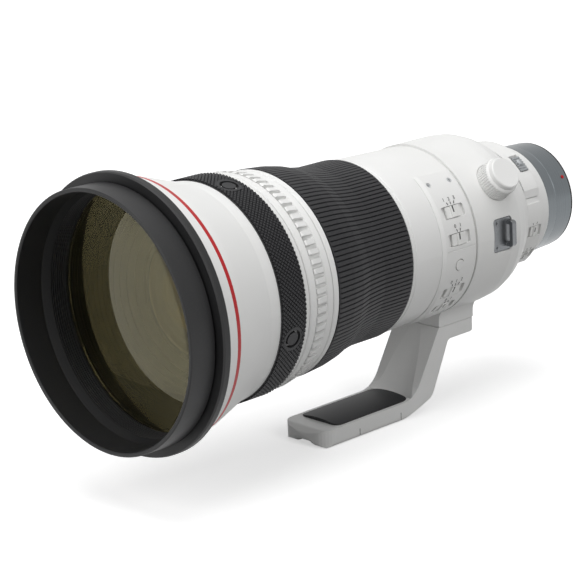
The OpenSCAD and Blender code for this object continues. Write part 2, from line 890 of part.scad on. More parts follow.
module foot_screw_places() {
    for (x = [-1, 1], z = [-1, 1])
        translate([x * foot_w / 4, -joint_h - block_t, foot_screw_z + z * foot_screw_head_d * 0.8])
            rotate([90, 0, 0]) children();
}

module collar_ring() {
    flare_x = (collar_d / 2 - wall) * cos(flare_angle);
    flare_y = (collar_d / 2 - wall) * sin(flare_angle);
    color(white) difference() {
        union() {
            difference() {
                turned(concat(collar_line(), reversed(bore_line(0))));
                at_angle(knob_angle, z_knob, collar_bore(1) / 2)
                    cylinder(d = clamp_d, h = hood_d / 2);
                at_angle(knob_angle, z_knob, collar_d / 2 - knob_seat)
                    cylinder(d = knob_d + 2 * run_gap, h = knob_h);
            }
            difference() {
                translate([0, 0, z_pedestal]) linear_extrude(height = pedestal_len)
                    polygon(rounded([
                        [-foot_w / 2, -joint_h], [foot_w / 2, -joint_h],
                        [foot_w / 2, block_t - joint_h], [flare_x, -flare_y],
                        [-flare_x, -flare_y], [-foot_w / 2, block_t - joint_h]
                    ], [0, 0, flare_r, 0, 0, flare_r]));
                ring(collar_bore(1) + wall, 0, z_collar, z_seam);
            }
        }
        lug_places() linear_extrude(height = collar_d)
            polygon(rounded_box(lug_len + 2 * lug_margin, lug_w + 2 * lug_margin, lug_round + lug_margin));
        lug_screw_places() screw_hole();
        foot_screw_places() translate([0, 0, -foot_screw_len])
            cylinder(d = foot_screw_d + 2 * fit_gap, h = foot_screw_len);
    }
}

// Knurled knob with its clamping stem
module lock_knob() {
    base_r = collar_d / 2 - knob_seat + run_gap;
    stem_r = collar_bore(knob_share);
    flute_d = 0.55 * knob_d * PI / knob_flutes;
    color(white) at_angle(knob_angle, z_knob, base_r) difference() {
        union() {
            turned([
                [0, stem_r + fit_gap - base_r],
                [clamp_d / 2 - run_gap, stem_r + fit_gap - base_r],
                [clamp_d / 2 - run_gap, 0],
                [knob_d / 2 - edge, 0],
                [knob_d / 2, edge],
                [knob_d / 2, knob_h - 2 * edge],
                [knob_d / 2 - 2 * edge, knob_h],
                [knob_top_d / 2, knob_h],
                [knob_top_d / 2, knob_h + knob_top_h - edge],
                [knob_top_d / 2 - edge, knob_h + knob_top_h],
                [0, knob_h + knob_top_h]
            ]);
        }
        for (i = [0 : knob_flutes - 1]) rotate([0, 0, i * 360 / knob_flutes])
            translate([knob_d / 2, 0, 2 * edge]) cylinder(d = flute_d, h = knob_h, $fn = 8);
        for (i = [1 : knob_rows - 1]) translate([0, 0, 2 * edge + i * (knob_h - 4 * edge) / knob_rows])
            ring(knob_d / 2 + over, knob_d / 2 - flute_d * 0.45, -flute_d / 4, flute_d / 4);
    }
}

// Strap loops: a plate, and a bar on two posts behind it
module strap_lugs() {
    loop_w = lug_w / 2 - lug_round;
    loop_h = lug_t + lug_gap + lug_bar;
    color(steel) difference() {
        lug_places() {
            linear_extrude(height = lug_t) polygon(rounded_box(lug_len, lug_w, lug_round));
            translate([edge - lug_len / 2, 0, 0]) rotate([90, 0, 90])
                linear_extrude(height = lug_bar_w) difference() {
                    polygon(rounded([[-loop_w, 0], [loop_w, 0], [loop_w, loop_h], [-loop_w, loop_h]],
                        [0, 0, lug_round, lug_round]));
                    polygon(rounded([[lug_post - loop_w, lug_t], [loop_w - lug_post, lug_t],
                        [loop_w - lug_post, lug_t + lug_gap], [lug_post - loop_w, lug_t + lug_gap]],
                        [0, 0, edge, edge]));
                }
        }
        lug_screw_places() screw_hole();
    }
}

// Screws of the strap loops, and the cap screws that hold the foot
module collar_screws() {
    color(steel) {
        lug_screw_places() screw();
        foot_screw_places() difference() {
            union() {
                translate([0, 0, -foot_screw_head_h]) cylinder(d = foot_screw_head_d, h = foot_screw_head_h);
                translate([0, 0, -foot_screw_len]) cylinder(d = foot_screw_d, h = foot_screw_len);
            }
            translate([0, 0, -foot_screw_head_h / 2])
                cylinder(d = foot_screw_d, h = foot_screw_head_h, $fn = 6);
        }
    }
}

// Foot: block, forward leg with a hollow front, and a plate with two rounded lobes
leg_drop = axis_h - plate_t - joint_h;
z_plate = z_leg + leg_reach;
z_tip = z_plate + plate_reach;
z_base = z_tip - base_len;
z_pad = z_plate + pad_inset + pad_len / 2;
z_large = z_tip - base_len * large_share;
z_small = z_tip - base_len * small_share;

module foot() {
    plate_y = plate_t - axis_h;
    block_y = -joint_h - block_t;
    hollow_r = (pow(foot_w / 2 - leg_rib, 2) + pow(hollow_depth, 2)) / 2 / hollow_depth;
    leg_len = norm([leg_drop, leg_reach]);
    color(white) difference() {
        intersection() {
            translate([foot_w / 2, 0, 0]) rotate([0, -90, 0]) linear_extrude(height = foot_w)
                polygon(rounded([
                    [z_pedestal, -joint_h],
                    [z_leg, -joint_h],
                    [z_plate, plate_y],
                    [z_tip - plate_t / 3, plate_y],
                    [z_tip, plate_y - plate_t / 3],
                    [z_tip - plate_t / 4, -axis_h],
                    [z_base, -axis_h],
                    [z_plate - leg_t / 2, plate_y - plate_t / 2],
                    [z_plate - leg_t - leg_flare, plate_y - plate_t / 5],
                    [z_leg - leg_t + leg_reach * block_t / leg_drop, block_y],
                    [z_pedestal, block_y]
                ], [0, 0, leg_round, plate_t / 4, plate_t / 4, plate_t / 2, plate_t, plate_t / 2,
                    plate_t * 0.8, block_t / 3, block_t / 3]));
            translate([0, 0, z_pedestal]) linear_extrude(height = z_tip - z_pedestal)
                polygon(rounded([
                    [-foot_w / 2, -joint_h], [-foot_w / 2, -axis_h],
                    [foot_w / 2, -axis_h], [foot_w / 2, -joint_h]
                ], [0, foot_round, foot_round, 0]));
            translate([0, -joint_h, 0]) rotate([90, 0, 0]) linear_extrude(height = axis_h - joint_h)
                polygon(rounded([
                    [-foot_w / 2, z_pedestal], [foot_w / 2, z_pedestal],
                    [foot_w / 2, z_tip - nose_crown], [0, z_tip], [-foot_w / 2, z_tip - nose_crown]
                ], [pedestal_round, pedestal_round, nose_round, foot_w, nose_round]));
        }
        translate([0, -joint_h, (z_pedestal + z_leg) / 2]) rotate([90, 0, 0])
            translate([0, 0, -over]) linear_extrude(height = joint_groove + over) difference() {
                square([2 * foot_w, 2 * pedestal_len], center = true);
                polygon(rounded_box(foot_w - 2 * joint_groove, pedestal_len - 2 * joint_groove,
                    pedestal_round));
            }
        translate([0, -joint_h, z_leg]) rotate([atan2(leg_drop, leg_reach) + hollow_tilt, 0, 0])
            translate([0, hollow_r, 0]) cylinder(r = hollow_r, h = leg_len);
        translate([0, -axis_h - lobe_r * 0.4, z_tip + over]) rotate([180 - lobe_tilt, 0, 0])
            cylinder(r = lobe_r, h = plate_reach / 2);
        pad_block(pad_w + 2 * fit_gap, pad_len + 2 * fit_gap, pad_crown);
        translate([0, plate_y, z_pad]) rotate([-90, 0, 0]) linear_extrude(height = ledge_h)
            polygon(rounded_box(pad_w + 2 * ledge_gap, pad_len + 2 * ledge_gap, pad_round));
        translate([0, -axis_h - over, z_large]) rotate([-90, 0, 0])
            cylinder(d = large_thread_d, h = thread_depth + over);
        translate([0, -axis_h - over, z_small]) rotate([-90, 0, 0])
            cylinder(d = small_thread_d, h = thread_depth + over);
        foot_screw_places() {
            translate([0, 0, -foot_screw_head_h])
                cylinder(d = foot_screw_head_d + 2 * fit_gap, h = foot_screw_head_h + over);
            translate([0, 0, -foot_screw_len])
                cylinder(d = foot_screw_d + 2 * fit_gap, h = foot_screw_len);
        }
    }
}

// Upright block with the pad's outline, from the bottom of its pocket
module pad_block(width, length, height) {
    translate([0, plate_t - axis_h - pad_pocket, z_pad]) rotate([-90, 0, 0])
        linear_extrude(height = height + pad_pocket) polygon(rounded_box(width, length, pad_round));
}

// Rubber pad with its crown
module foot_pad() {
    crown_r = (pow(pad_w / 2, 2) + pow(pad_crown, 2)) / 2 / pad_crown;
    color(rubber) intersection() {
        pad_block(pad_w, pad_len, 2 * pad_crown);
        translate([0, plate_t - axis_h + pad_side + pad_crown - crown_r, z_pad - pad_len])
            cylinder(r = crown_r, h = 2 * pad_len);
    }
}

// Rear barrel, with the slot and seat of the filter drawer and a raised switch ground
rear_shares = [[0, 0.07], [0.44, 0.45], [0.47, 0.75], [1, 1]];
z_cover_to = z_collar - run_gap;
z_cover = z_cover_to - cover_w;
z_drawer = (z_cover + z_cover_to) / 2;
cover_seat_r = rear_d / 2 - cover_t;
rear_window_angles = [-11.9, -37];
rear_slider_len = rear_window_len - 2 * rear_slider_travel - 2 * slider_play;

function rear_line() = [for (p = rear_shares)
    [mount_front_d / 2 + p[1] * (rear_d - mount_front_d) / 2, z_rear + p[0] * rear_len]];

module rear_barrel() {
    color(white) difference() {
        union() {
            turned(concat(
                [[rear_bore_r, z_rear]],
                rear_line(),
                [[rear_bore_r + wall, z_collar],
                    [rear_bore_r + wall, z_collar + spigot_len],
                    [rear_bore_r, z_collar + spigot_len]]));
            sector(rear_d / 2 + ground_h, rear_bore_r + wall, z_cover, z_cover_to,
                ground_angle, cover_angle - ground_gap);
        }
        sector(rear_d, cover_seat_r, z_cover - run_gap, z_collar + over,
            cover_angle - run_gap, 180 - cover_angle + run_gap);
        translate([-drawer_w / 2 - run_gap, 0, z_drawer - drawer_t / 2 - run_gap])
            cube([drawer_w + 2 * run_gap, rear_d, drawer_t + 2 * run_gap]);
        for (a = rear_window_angles) at_angle(a, z_drawer, rear_d / 2 - window_depth)
            translate([-rear_window_len / 2, -rear_window_w / 2, 0])
                cube([rear_window_len, rear_window_w, over + 2 * window_depth]);
    }
}

// Filter drawer: a frame that hangs in the barrel under a curved cover
module filter_holder() {
    outer_r = rear_d / 2 + cover_h;
    // Ends of the slope at the cover's lower edges
    low = (outer_r - cover_h) * [cos(cover_angle), sin(cover_angle)];
    high = outer_r * [cos(cover_angle + cover_slope), sin(cover_angle + cover_slope)];
    color(white) difference() {
        union() {
            intersection() {
                translate([0, 0, z_drawer - drawer_t / 2]) {
                    cylinder(d = drawer_w, h = drawer_t);
                    translate([-drawer_w / 2, 0, 0]) cube([drawer_w, rear_d / 2, drawer_t]);
                }
                translate([0, 0, z_cover]) cylinder(r = cover_seat_r + wall, h = cover_w);
            }
            sector(outer_r, cover_seat_r + run_gap, z_cover, z_cover_to,
                cover_angle, 180 - cover_angle);
        }
        for (side = [0, 1]) mirror([side, 0, 0]) translate([0, 0, z_cover - over])
            linear_extrude(height = cover_w + 2 * over)
                polygon([2 * low - high, outer_r * 2 * [cos(cover_angle), sin(cover_angle)], 2 * high - low]);
        translate([0, 0, z_cover]) cylinder(d = filter_d - 2 * wall, h = cover_w);
        translate([0, 0, z_drawer]) cylinder(d = filter_d + 2 * fit_gap, h = drawer_t);
        for (side = [0, 1]) mirror([side, 0, 0])
            sector(rear_d, outer_r - latch_t, z_latch, z_latch + latch_len,
                latch_angle, latch_angle + latch_span + latch_play);
    }
}

module filter_glass() {
    color(clear) translate([0, 0, z_drawer]) cylinder(d = filter_d, h = filter_t);
}

// Latch of the drawer, with ribs for the finger
latch_angle = 42;
z_latch = z_cover + latch_inset;
latch_play = latch_travel / rear_d * 2 * 180 / PI + 1;

module filter_latch(side) {
    outer_r = rear_d / 2 + cover_h;
    color(metal) mirror([side, 0, 0]) {
        difference() {
            sector(outer_r + latch_h, outer_r - latch_t + run_gap, z_latch + run_gap,
                z_latch + latch_len - run_gap, latch_angle + 0.5, latch_angle + latch_span);
            for (i = [1 : latch_ribs]) rotate([0, 0, latch_angle + i * latch_span / (latch_ribs + 1)])
                translate([outer_r + latch_h / 2, -latch_groove / 2, z_latch])
                    cube([latch_h, latch_groove, latch_len + over]);
        }
        at_angle(latch_angle + latch_span * 0.6, z_latch + latch_len / 2, outer_r) turned(concat(
            [[0, -latch_t / 2], [dome_r, -latch_t / 2]],
            [for (p = dome_shares) [p[0] * dome_r, latch_h + p[1] * dome_h]]));
    }
}

module rear_slider(index) {
    slider(rear_window_angles[index], z_drawer, rear_d / 2 - window_depth,
        rear_slider_len, rear_window_w, window_depth + ground_h);
}

// Metal mount barrel with its step, the seat of the flange and the cell of the rear glass
module mount_ring() {
    color(metal) difference() {
        mount_body();
        bayonet_screw_places() screw_hole();
    }
}

module mount_body() {
    turned([
        [flange_d / 2 + fit_gap, 0],
        [mount_rear_d / 2 - edge, 0],
        [mount_rear_d / 2, edge],
        [mount_step_d / 2, mount_step_len - edge],
        [mount_step_d / 2 - edge / 2, mount_step_len],
        [mount_step_d / 2 + edge / 3, mount_step_len],
        [mount_front_d / 2, mount_len],
        [rear_bore_r - fit_gap, mount_len],
        [rear_bore_r - fit_gap, mount_len + spigot_len],
        [rear_bore_r - wall, mount_len + spigot_len],
        [rear_bore_r - wall, z_rear_glass + rear_glass_t + wall],
        [rear_glass_d / 2 + fit_gap, z_rear_glass + rear_glass_t + wall],
        [rear_glass_d / 2 + fit_gap, z_rear_glass],
        [rear_glass_d / 2 - wall / 2, z_rear_glass],
        [rear_glass_d / 2 - wall / 2, z_rear_glass - wall / 2],
        [flange_d / 2 - wall, z_rear_glass - wall / 2],
        [flange_d / 2 - wall, flange_t + flange_web],
        [throat_d / 2, flange_t + flange_web],
        [throat_d / 2, flange_t],
        [flange_d / 2 + fit_gap, flange_t]
    ]);
}

// Rubber lip round the flange
module mount_seal() {
    color(rubber) turned([
        [mount_rear_d / 2 - seal_w, -seal_t],
        [mount_rear_d / 2 - edge / 3, -seal_t],
        [mount_rear_d / 2 - edge, 0],
        [mount_rear_d / 2 - seal_w, 0]
    ]);
}

// Flange and three lugs that turn into the camera
module bayonet() {
    color(steel) difference() {
        union() {
            ring(flange_d / 2, bayonet_d / 2 - bayonet_wall, 0, flange_t);
            ring(bayonet_d / 2, bayonet_d / 2 - bayonet_wall, -bayonet_len, 0);
            for (i = [0 : 2]) sector(throat_d / 2 - 2 * fit_gap, bayonet_d / 2 - fit_gap,
                -bayonet_len, bayonet_lug_depth - bayonet_len, i * 120, i * 120 + bayonet_lug_span);
        }
        bayonet_screw_places() screw_hole();
    }
}

module bayonet_screw_places() {
    for (i = [0 : 3]) rotate([0, 0, 45 + i * 90])
        translate([(flange_d + throat_d) / 4, 0, 0]) rotate([180, 0, 0]) children();
}

module barrel_screws() {
    color(steel) {
        panel_screw_places() screw();
        bayonet_screw_places() screw();
    }
}

// Block with its row of contacts, low in the throat
module contact_block() {
    outer_r = bayonet_d / 2 - bayonet_wall - fit_gap;
    color(satin_black) sector(outer_r, outer_r - contact_t, contact_tip - bayonet_len,
        flange_t + contact_t, 270 - contact_span / 2, 270 + contact_span / 2);
    color(brass) for (i = [0 : contact_count - 1])
        rotate([0, 0, 270 + (i - (contact_count - 1) / 2) * contact_span / (contact_count + 1)])
            translate([outer_r - contact_t / 2, 0, contact_tip - bayonet_len - contact_h])
                cylinder(d = contact_d, h = contact_h + contact_d, $fn = 24);
}

// Cell of the front element, with the ridged funnel behind it that holds the second glass
module front_cell() {
    seat_r = second_glass_d / 2 + glass_gap;
    z_lip = z_second + second_rim;
    mouth_r = glass_d / 2 - wall;
    // Radius inside the funnel at a share of the way forward
    function funnel_r(share) = seat_r + share * (mouth_r - seat_r);
    color(satin_black) turned(concat(
        [[seat_r - wall, z_second - wall],
            [seat_r + cell_wall, z_second - wall],
            [seat_r + cell_wall, z_lip],
            [mouth_r + cell_wall, z_cell],
            [sleeve_r - fit_gap, z_cell],
            [sleeve_r - fit_gap, z_sleeve],
            [glass_d / 2 + glass_gap, z_sleeve],
            [glass_d / 2 + glass_gap, z_cell + cell_wall],
            [mouth_r, z_cell + cell_wall],
            [mouth_r, z_cell]],
        [for (i = [baffle_ridges - 1 : -1 : 0], side = [1, 0])
            [funnel_r(i / baffle_ridges) - side * baffle_ridge / 2 + (1 - side) * baffle_ridge / 4,
                z_lip + (i + side / 2) * (z_cell - z_lip) / baffle_ridges]],
        [[seat_r, z_lip], [seat_r, z_second], [seat_r - wall, z_second]]));
}

// A turned lens: its diameter, the height of its rim, and its two bulges
module lens(d, rim_h, front_bulge, rear_bulge) {
    front_r = (pow(d / 2, 2) + pow(front_bulge, 2)) / 2 / front_bulge;
    rear_r = (pow(d / 2, 2) + pow(rear_bulge, 2)) / 2 / rear_bulge;
    turned(concat(
        arc([0, rear_r - rear_bulge], rear_r, 270, 270 + asin(d / 2 / rear_r), 8),
        arc([0, rim_h + front_bulge - front_r], front_r, 90 - asin(d / 2 / front_r), 90, 8)));
}

module front_glass() {
    color(clear) {
        translate([0, 0, z_cell + cell_wall + glass_seat])
            lens(glass_d, cell_len - cell_wall - glass_seat, front_bulge, rear_bulge);
        translate([0, 0, z_second + glass_seat])
            lens(second_glass_d, second_rim - glass_seat, second_bulge, small_bulge);
    }
}

module rear_glass() {
    color(clear) translate([0, 0, z_rear_glass + glass_seat])
        lens(rear_glass_d, rear_glass_t, small_bulge, small_bulge);
}

// Focusing group on three rods, moved by three followers in a turning cam ring
z_focus = z_grip + grip_len / 2;
cam_outer_r = panel_bore_r - wall - 2 * run_gap;
cam_inner_r = cam_outer_r - cam_wall;
rod_r = (focus_glass_d / 2 + cam_inner_r) / 2;
z_motor = z_grip;
z_guide = z_focus + focus_travel + carriage_len / 2 + rod_margin;
cam_from = z_motor + motor_len + run_gap;
cam_to = z_guide - 2 * run_gap;

module focus_carriage() {
    color(satin_black) translate([0, 0, z_focus - carriage_len / 2]) difference() {
        union() {
            ring(cam_inner_r - run_gap, focus_glass_d / 2 - wall / 2, 0, wall);
            ring(cam_inner_r - run_gap, focus_glass_d / 2 + fit_gap, wall, carriage_len);
            for (i = [0 : 2]) rotate([0, 0, i * 120 + 60]) translate([cam_inner_r - wall, 0, carriage_len / 2])
                rotate([0, 90, 0]) cylinder(d = follower_d, h = cam_wall + wall - run_gap);
        }
        rod_places() translate([0, 0, -over]) cylinder(d = rod_d + 4 * fit_gap, h = carriage_len + 2 * over);
    }
}

module rod_places() {
    for (i = [0 : 2]) rotate([0, 0, i * 120]) translate([rod_r, 0, 0]) children();
}

module focus_glass() {
    color(clear) translate([0, 0, z_focus - carriage_len / 2 + wall + glass_seat])
        lens(focus_glass_d, carriage_len - 2 * wall, small_bulge, small_bulge);
}

module guide_rods() {
    color(steel) rod_places() translate([0, 0, z_motor + motor_len])
        cylinder(d = rod_d, h = z_guide + wall - z_motor - motor_len);
}

module focus_motor() {
    color(metal) ring(panel_bore_r - wall - fit_gap, rod_r - 2 * rod_d, z_motor, z_motor + motor_len);
}

module focus_cam_ring() {
    slot_w = follower_d + 2 * run_gap;
    step_len = norm([focus_travel, cam_turn / 180 * PI * cam_inner_r]) / cam_steps;
    slope = atan2(focus_travel, cam_turn / 180 * PI * cam_inner_r);
    color(metal) difference() {
        ring(cam_outer_r, cam_inner_r, cam_from, cam_to);
        for (i = [0 : 2], k = [0.5 - cam_steps : cam_steps - 0.5])
            at_angle(i * 120 + 60 - k * cam_turn / cam_steps, z_focus + k * focus_travel / cam_steps,
                cam_inner_r - cam_wall)
                rotate([0, 0, slope - 90]) translate([-step_len / 2 - slot_w / 2, -slot_w / 2, 0])
                    cube([step_len + slot_w, slot_w, 3 * cam_wall]);
    }
}

// Iris: nine blades in steps, each on a pivot of the base and driven by the ring
blade_count = 9;
z_blades = z_iris + iris_base_t + blade_step / 2;
z_iris_ring = z_blades + blade_count * blade_step;
iris_case_r = collar_bore(1) - run_gap - wall - fit_gap;

module iris_base() {
    color(satin_black) difference() {
        union() {
            ring(iris_case_r, iris_open_r + blade_w / 3, z_iris, z_iris + iris_base_t);
            ring(iris_case_r, iris_case_r - wall, z_iris, z_iris_ring + iris_ring_t);
        }
        for (i = [0 : blade_count - 1]) rotate([0, 0, i * 360 / blade_count])
            translate([pivot_r, 0, z_iris - over]) cylinder(d = pivot_d + 2 * fit_gap, h = iris_base_t + 2 * over);
    }
}

module iris_ring() {
    color(satin_black) difference() {
        ring(iris_case_r - wall - fit_gap, iris_open_r + blade_w / 3, z_iris_ring, z_iris_ring + iris_ring_t);
        for (i = [0 : blade_count - 1]) rotate([0, 0, i * 360 / blade_count - blade_half_turn * drive_share])
            translate([pivot_r + drive_arm - drive_d, -drive_d / 2 - 2 * fit_gap, z_iris_ring - over])
                cube([2 * drive_d, drive_d + 4 * fit_gap, iris_ring_t + 2 * over]);
    }
}

module iris_blade(index) {
    z = z_blades + (index - 1) * blade_step;
    color(satin_black) rotate([0, 0, (index - 1) * 360 / blade_count]) {
        sector(iris_open_r + blade_w, iris_open_r, z, z + blade_t, 0, blade_span);
        sector(pivot_r + drive_arm + drive_d, iris_open_r, z, z + blade_t, -ear_angle, ear_angle);
        translate([pivot_r, 0, z_iris + blade_t]) cylinder(d = pivot_d, h = z - z_iris);
        translate([pivot_r + drive_arm * cos(blade_half_turn), -drive_arm * sin(blade_half_turn), z])
            cylinder(d = drive_d, h = z_iris_ring + iris_ring_t - blade_t - z);
    }
}

// Stabiliser: a frame that shifts sideways, and a lens that shifts up and down on it
module stabiliser_frame() {
    to = z_stab - run_gap;
    color(metal) ring(stab_glass_d / 2 + stab_rim, stab_glass_d / 2 - wall, to - stab_t, to);
}

module stabiliser_lens() {
    to = z_stab - 2 * run_gap - stab_t;
    color(clear) translate([0, 0, to - stab_t]) {
        cylinder(d = stab_glass_d, h = stab_t);
        ring(stab_glass_d / 2 + stab_rim / 2, stab_glass_d / 2 - wall / 2, 0, stab_t);
    }
}

// Main board, a ring behind the switches
module circuit_board() {
    color(board_green) ring(panel_bore_r - fit_gap, collar_bore(1) - run_gap - wall, z_panel + wall,
        z_panel + wall + board_t);
}

// Lays the axis level, the front towards -Y and up towards +Z
module laid() { rotate([90, 0, 0]) children(); }

laid() front_tube();
laid() front_barrel();
laid() red_ring();
laid() button_band();
laid() stop_button(1);  // stop_button_1
laid() stop_button(2);  // stop_button_2
laid() stop_button(3);  // stop_button_3
laid() stop_button(4);  // stop_button_4
laid() playback_ring();
laid() control_barrel();
laid() middle_barrel();
laid() focus_ring();
laid() focus_grip();
laid() panel_barrel();
laid() switch_panel();
laid() panel_slider(0);  // mode_slider
laid() panel_slider(1);  // stabiliser_slider
laid() panel_slider(2);  // preset_slider
laid() panel_slider(3);  // lock_slider
laid() set_button();
laid() collar_ring();
laid() lock_knob();
laid() strap_lugs();
laid() collar_screws();
laid() foot();
laid() foot_pad();
laid() rear_barrel();
laid() filter_holder();
laid() filter_latch(0);  // filter_latch_right
laid() filter_latch(1);  // filter_latch_left
laid() filter_glass();
laid() rear_slider(0);  // af_slider
laid() rear_slider(1);  // range_slider
laid() mount_ring();
laid() mount_seal();
laid() barrel_screws();
laid() bayonet();
laid() contact_block();
laid() front_cell();
laid() front_glass();
laid() focus_carriage();
laid() focus_glass();
laid() guide_rods();
laid() focus_motor();
laid() focus_cam_ring();
laid() iris_base();
laid() iris_ring();
laid() iris_blade(1);  // iris_blade_1
laid() iris_blade(2);  // iris_blade_2
laid() iris_blade(3);  // iris_blade_3
laid() iris_blade(4);  // iris_blade_4
laid() iris_blade(5);  // iris_blade_5
laid() iris_blade(6);  // iris_blade_6
laid() iris_blade(7);  // iris_blade_7
laid() iris_blade(8);  // iris_blade_8
laid() iris_blade(9);  // iris_blade_9
laid() stabiliser_frame();
laid() stabiliser_lens();
laid() rear_glass();
laid() circuit_board();
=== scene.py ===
# Frame, camera and studio
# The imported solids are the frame. The camera stands in front of the lens and to its right,
# as a product photographer's does, and soft boxes light it over a white table.
import math

import bmesh
import bpy
from mathutils import Matrix, Vector


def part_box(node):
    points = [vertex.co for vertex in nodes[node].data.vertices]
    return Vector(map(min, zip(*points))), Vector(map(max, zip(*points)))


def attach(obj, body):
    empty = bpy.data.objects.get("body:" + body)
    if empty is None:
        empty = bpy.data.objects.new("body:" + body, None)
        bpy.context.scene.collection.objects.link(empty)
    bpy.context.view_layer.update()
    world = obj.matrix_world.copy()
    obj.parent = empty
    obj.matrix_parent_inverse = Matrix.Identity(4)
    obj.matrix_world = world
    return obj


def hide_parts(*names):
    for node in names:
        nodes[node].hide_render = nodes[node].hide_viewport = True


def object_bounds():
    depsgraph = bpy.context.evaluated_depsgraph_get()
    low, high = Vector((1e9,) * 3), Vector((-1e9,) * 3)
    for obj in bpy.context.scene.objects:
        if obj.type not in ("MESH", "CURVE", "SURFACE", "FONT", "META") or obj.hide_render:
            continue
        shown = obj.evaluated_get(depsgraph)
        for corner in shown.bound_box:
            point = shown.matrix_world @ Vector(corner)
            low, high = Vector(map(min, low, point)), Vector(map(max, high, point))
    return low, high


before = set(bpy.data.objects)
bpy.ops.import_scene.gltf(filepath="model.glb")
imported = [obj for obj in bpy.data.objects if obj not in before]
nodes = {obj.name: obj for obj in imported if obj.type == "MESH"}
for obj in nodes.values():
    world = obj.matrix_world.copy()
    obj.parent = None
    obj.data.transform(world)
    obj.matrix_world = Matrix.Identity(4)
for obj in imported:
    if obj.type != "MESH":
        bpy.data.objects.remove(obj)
cad_low, cad_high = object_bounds()
scene = bpy.context.scene
mm = 0.001


def linear(code):
    """An sRGB hex colour as linear RGBA."""
    parts = [int(code[i:i + 2], 16) / 255 for i in (1, 3, 5)]
    return [c / 12.92 if c <= 0.04045 else ((c + 0.055) / 1.055) ** 2.4 for c in parts] + [1]


def add(mat, kind, settings=None, links=None):
    """Adds a shader node: settings name its inputs or its properties, links name its inputs."""
    node = mat.node_tree.nodes.new("ShaderNode" + kind)
    for key, value in (settings or {}).items():
        if isinstance(key, int) or key in node.inputs:
            node.inputs[key].default_value = value
        else:
            setattr(node, key, value)
    for key, source in (links or {}).items():
        mat.node_tree.links.new(source, node.inputs[key])
    return node


def finish_of(name):
    """A new material without any nodes."""
    mat = bpy.data.materials.new(name)
    mat.use_nodes = True
    mat.node_tree.nodes.clear()
    return mat


# The camera's place and focal length are fitted to the outline of the lens
camera_data = bpy.data.cameras.new("camera")
camera_data.sensor_fit = "HORIZONTAL"
camera_data.sensor_width = 36
camera_data.lens = 139.62
camera_data.clip_end = 20
camera = bpy.data.objects.new("camera", camera_data)
camera.location = (0.92808, -1.10395, 0.35626)
camera.rotation_euler = [math.radians(a) for a in (73.86014, 2.28026, 45.76709)]
scene.collection.objects.link(camera)
scene.camera = camera
scene.view_settings.view_transform = "Standard"


def softbox(name, place, aim, width, height, power):
    """A soft box of width by height, in metres, that points at the lens, with its watts."""
    data = bpy.data.lights.new(name, "AREA")
    data.shape = "RECTANGLE"
    data.size, data.size_y = width, height
    data.energy = power
    lamp = bpy.data.objects.new(name, data)
    lamp.location = place
    lamp.rotation_euler = (Vector(aim) - Vector(place)).to_track_quat("-Z", "Y").to_euler()
    scene.collection.objects.link(lamp)


softbox("top_box", (0, -0.3, 1.5), (0, -0.18, 0), 1.6, 1.6, 17)
softbox("front_box", (0.1, -1.7, 0.9), (0, -0.2, 0), 1.2, 1.0, 10)
softbox("right_box", (1.5, -0.3, 0.9), (0, -0.2, 0), 0.8, 1.0, 8)


def seen_or_bounced(mat):
    """1 where the camera, a reflection or a glass shows the surface, 0 where it sends light."""
    path = add(mat, "LightPath")
    direct = add(mat, "Math", {"operation": "MAXIMUM"},
                 {0: path.outputs["Is Camera Ray"], 1: path.outputs["Is Transmission Ray"]})
    seen = add(mat, "Math", {"operation": "MAXIMUM"},
               {0: direct.outputs[0], 1: path.outputs["Is Glossy Ray"]})
    return seen.outputs[0]


# White to the camera and in reflections, a plain pale level for the light itself
world = bpy.data.worlds.new("studio")
scene.world = world
world.use_nodes = True
world.node_tree.nodes.clear()
dim = add(world, "Background", {"Color": linear("#ffffff"), "Strength": 0.25})
bright = add(world, "Background", {"Color": linear("#ffffff"), "Strength": 1.0})
mixed = add(world, "MixShader", {},
            {0: seen_or_bounced(world), 1: dim.outputs[0], 2: bright.outputs[0]})
add(world, "OutputWorld", {}, {"Surface": mixed.outputs[0]})

# The table: white where it is seen lit, with the soft shadow of the lens, and a grey that
# sends little light back up. Past the lamps' reach its own glow keeps it white.
table = finish_of("white_table")
coords = add(table, "TexCoord")
reach = add(table, "VectorMath", {"operation": "LENGTH"}, {0: coords.outputs["Object"]})
level = add(table, "MapRange", {"From Min": 0.5, "From Max": 1.6, "To Min": 0.5, "To Max": 1.0},
            {"Value": reach.outputs["Value"]})
bounce = add(table, "BsdfDiffuse", {"Color": linear("#8c8c8c")})
matt = add(table, "BsdfDiffuse", {"Color": linear("#f0f0f0")})
glow = add(table, "Emission", {"Color": linear("#ffffff")}, {"Strength": level.outputs[0]})
lit = add(table, "AddShader", {}, {0: matt.outputs[0], 1: glow.outputs[0]})
both = add(table, "MixShader", {},
           {0: seen_or_bounced(table), 1: bounce.outputs[0], 2: lit.outputs[0]})
add(table, "OutputMaterial", {}, {"Surface": both.outputs[0]})
table_half, table_gap = 6, 0.05 * mm
bm = bmesh.new()
bmesh.ops.create_grid(bm, x_segments=1, y_segments=1, size=table_half)
bmesh.ops.translate(bm, vec=(0, 0, cad_low.z - table_gap), verts=bm.verts)
floor_mesh = bpy.data.meshes.new("floor")
bm.to_mesh(floor_mesh)
bm.free()
floor_mesh.materials.append(table)
floor = bpy.data.objects.new("floor", floor_mesh)
scene.collection.objects.link(floor)


def paint(mat, *names):
    """Gives CAD nodes a material."""
    for name in names:
        for place in nodes[name].material_slots:
            place.material = mat


enamel = finish_of("satin_white_enamel")
coords = add(enamel, "TexCoord")
